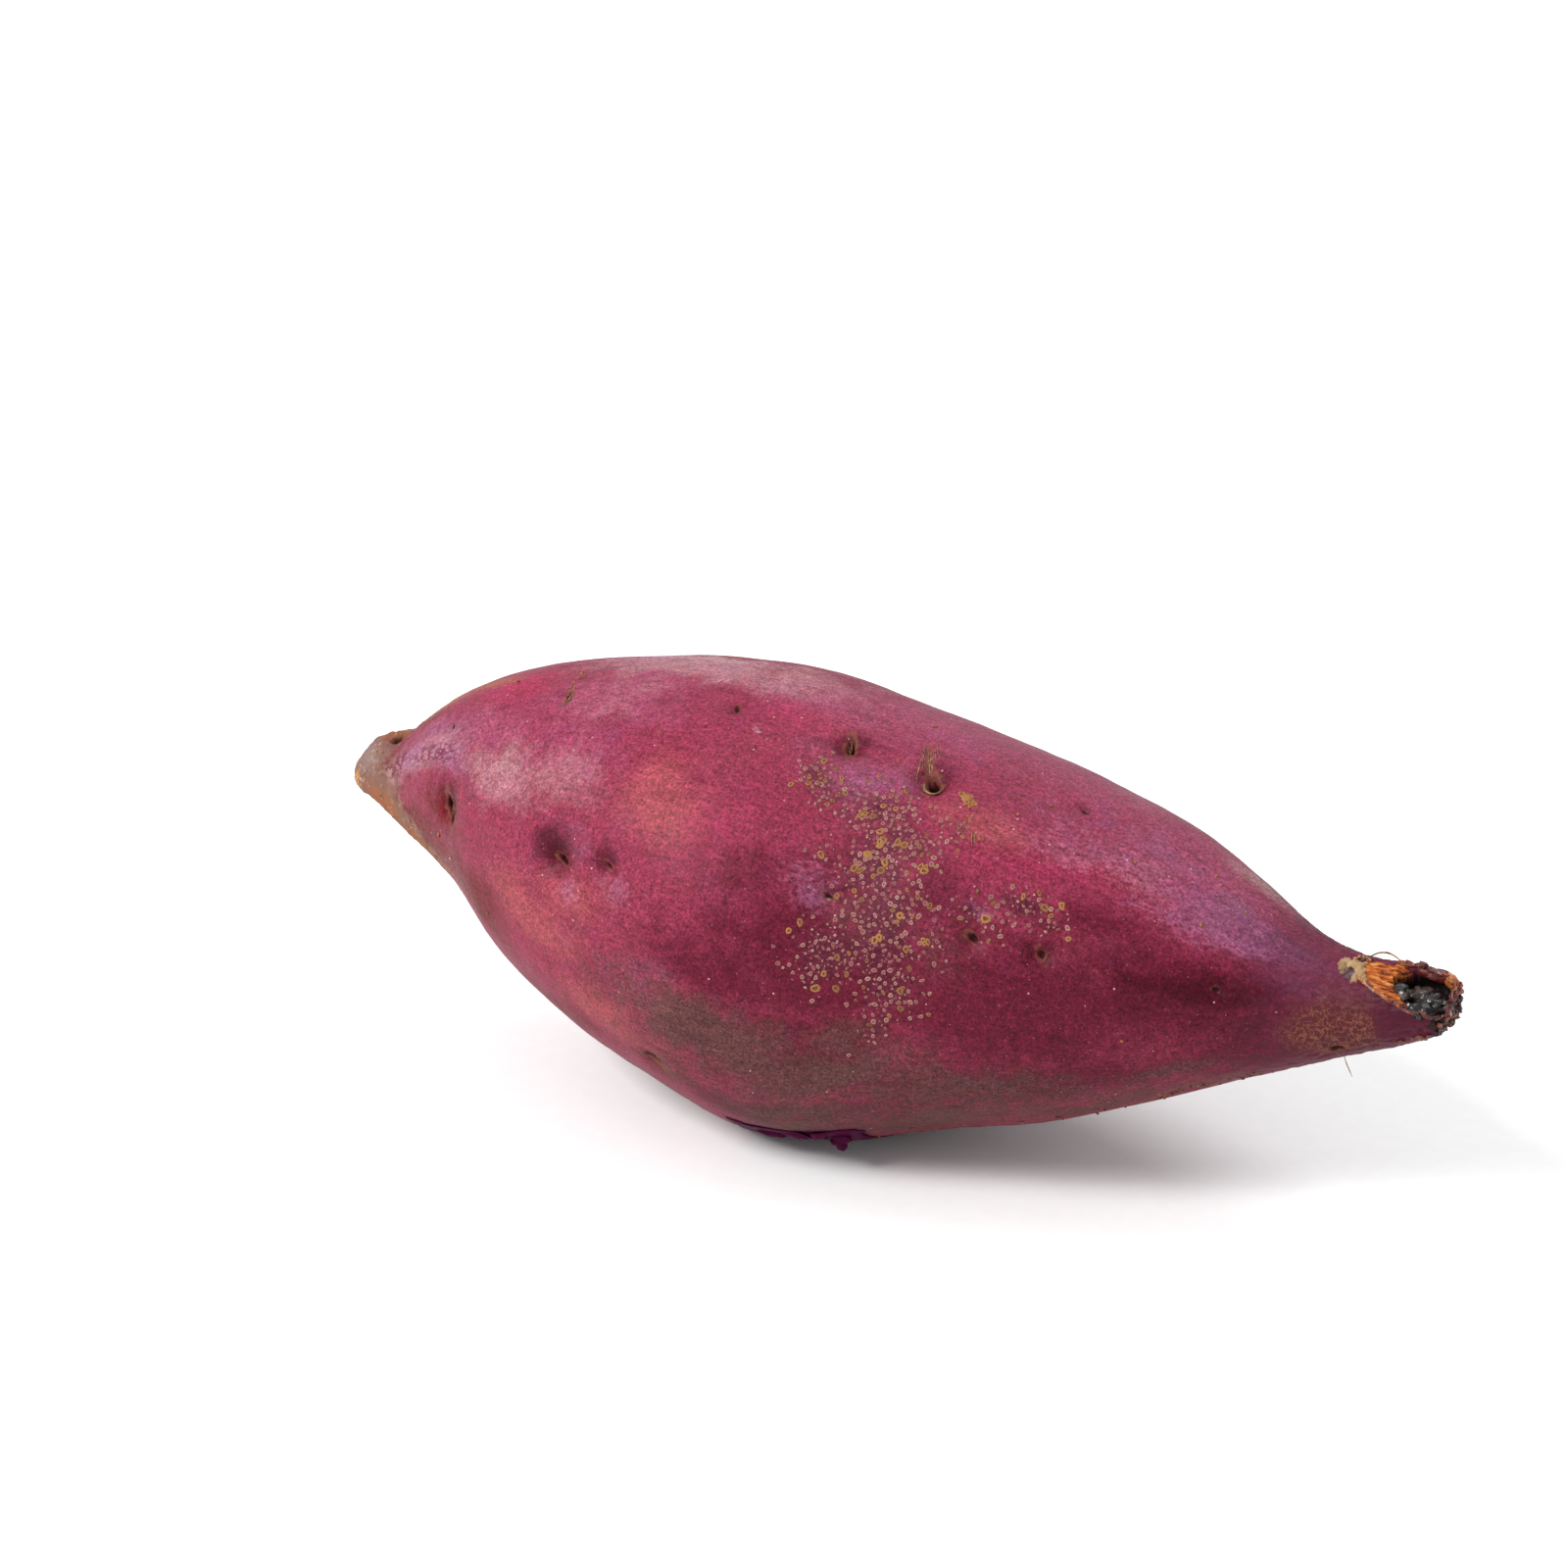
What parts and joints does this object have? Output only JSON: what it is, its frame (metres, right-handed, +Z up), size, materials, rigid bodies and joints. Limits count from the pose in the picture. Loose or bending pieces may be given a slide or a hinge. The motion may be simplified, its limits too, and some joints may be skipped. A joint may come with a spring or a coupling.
{
  "type": "sweet potato",
  "caption": "Whole baked purple-skinned sweet potato, a spindle-shaped root with a corky nub at one end and a cut, scorched stub at the other, resting on its belly.",
  "frame": {"origin": "middle of the bounding box, at the height of the flat spot that the root rests on", "axes": "+X along the root, from the corky nub to the cut stub; +Z up; the slanted cut faces up and towards -Y"},
  "size_m": [0.184, 0.0696, 0.0666],
  "materials": {
    "skin": "satin"
  },
  "bodies": {
    "root": {"sweet_potato": "skin"}
  },
  "joints": []
}
